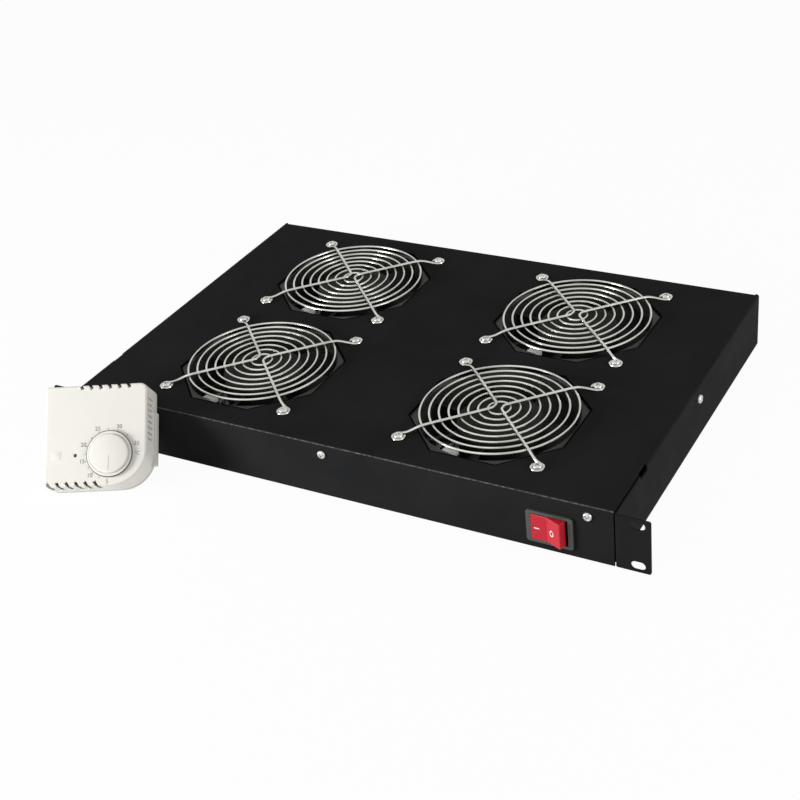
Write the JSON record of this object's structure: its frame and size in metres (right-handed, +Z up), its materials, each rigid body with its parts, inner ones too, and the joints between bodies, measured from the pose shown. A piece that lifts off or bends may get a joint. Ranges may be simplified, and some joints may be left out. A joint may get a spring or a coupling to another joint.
{
  "type": "rack fan tray",
  "caption": "Flat black rack-mounted fan tray with top fans under wire guards, a red front rocker switch, ears for a 19-inch rack and a room thermostat with a dial.",
  "frame": {"origin": "middle of the four rack slots, on the rear (mounting) face of the ears", "axes": "+X to the right along the front, +Y to the back, +Z up"},
  "size_m": [0.4826, 0.3881, 0.0706],
  "materials": {
    "black_coat": "satin black powder coat",
    "bright_wire": "bright plated wire",
    "zinc": "bright zinc plated",
    "fan_alloy": "die-cast, grey-green",
    "impeller_grey": "matt grey",
    "motor_steel": "dark steel laminations",
    "white_nylon": "white nylon",
    "bezel_grey": "dark grey moulding",
    "rocker_red": "red, slightly glossy",
    "contact_brass": "bare",
    "inlet_black": "black moulding",
    "block_white": "off-white moulding",
    "lead_black": "black sleeving",
    "grommet_black": "matt black",
    "thermostat_cream": "fine matt cream",
    "thermostat_grey": "grey-beige",
    "lens_dark": "dark lens"
  },
  "bodies": {
    "chassis": {"housing": "black_coat", "bottom_tray": "black_coat", "front_screws": "zinc", "side_screws": "zinc", "rear_screws": "zinc", "fan_frame_front_left": "fan_alloy", "fan_motor_front_left": "motor_steel", "top_guard_front_left": "bright_wire", "bottom_guard_front_left": "bright_wire", "fan_frame_front_right": "fan_alloy", "fan_motor_front_right": "motor_steel", "top_guard_front_right": "bright_wire", "bottom_guard_front_right": "bright_wire", "fan_frame_rear_left": "fan_alloy", "fan_motor_rear_left": "motor_steel", "top_guard_rear_left": "bright_wire", "bottom_guard_rear_left": "bright_wire", "fan_frame_rear_right": "fan_alloy", "fan_motor_rear_right": "motor_steel", "top_guard_rear_right": "bright_wire", "bottom_guard_rear_right": "bright_wire", "fan_plugs": "white_nylon", "top_guard_screws": "zinc", "top_guard_nuts": "zinc", "bottom_guard_screws": "zinc", "switch_body": "bezel_grey", "switch_terminals": "contact_brass", "power_inlet": "inlet_black", "inlet_pins": "contact_brass", "inlet_screws": "zinc", "inlet_nuts": "zinc", "terminal_block": "block_white", "terminal_block_screws": "zinc", "supply_loom": "lead_black", "switch_loom": "lead_black", "thermostat_lead": "lead_black", "fan_leads": "lead_black", "cable_grommet": "grommet_black", "earth_stud": "contact_brass", "thermostat_base": "thermostat_grey", "thermostat_cover": "thermostat_cream", "thermostat_switch": "inlet_black", "thermostat_terminals": "block_white", "thermostat_lens": "lens_dark"},
    "rotor_front_left": {"fan_impeller_front_left": "impeller_grey"},
    "rotor_front_right": {"fan_impeller_front_right": "impeller_grey"},
    "rotor_rear_left": {"fan_impeller_rear_left": "impeller_grey"},
    "rotor_rear_right": {"fan_impeller_rear_right": "impeller_grey"},
    "rocker": {"switch_rocker": "rocker_red"},
    "dial": {"thermostat_dial": "thermostat_cream"}
  },
  "joints": [
    {"name": "spin_front_left", "type": "hinge", "parent": "chassis", "child": "rotor_front_left", "pos_m": [-0.1, 0.0783, 0.00255], "axis": [0, 0, 1], "continuous": true},
    {"name": "spin_front_right", "type": "hinge", "parent": "chassis", "child": "rotor_front_right", "pos_m": [0.1, 0.0783, 0.00255], "axis": [0, 0, 1], "continuous": true},
    {"name": "spin_rear_left", "type": "hinge", "parent": "chassis", "child": "rotor_rear_left", "pos_m": [-0.1, 0.2173, 0.00255], "axis": [0, 0, 1], "continuous": true},
    {"name": "spin_rear_right", "type": "hinge", "parent": "chassis", "child": "rotor_rear_right", "pos_m": [0.1, 0.2173, 0.00255], "axis": [0, 0, 1], "continuous": true},
    {"name": "rocker_tip", "type": "hinge", "parent": "chassis", "child": "rocker", "pos_m": [0.1724, 0.0018, -0.00235], "axis": [0, 0, 1], "range_deg": [0, 24]},
    {"name": "dial_turn", "type": "hinge", "parent": "chassis", "child": "dial", "pos_m": [-0.14678, -0.05403, 0.01394], "axis": [-0.2988, 0.6409, -0.7071], "range_deg": [0, 244]}
  ]
}
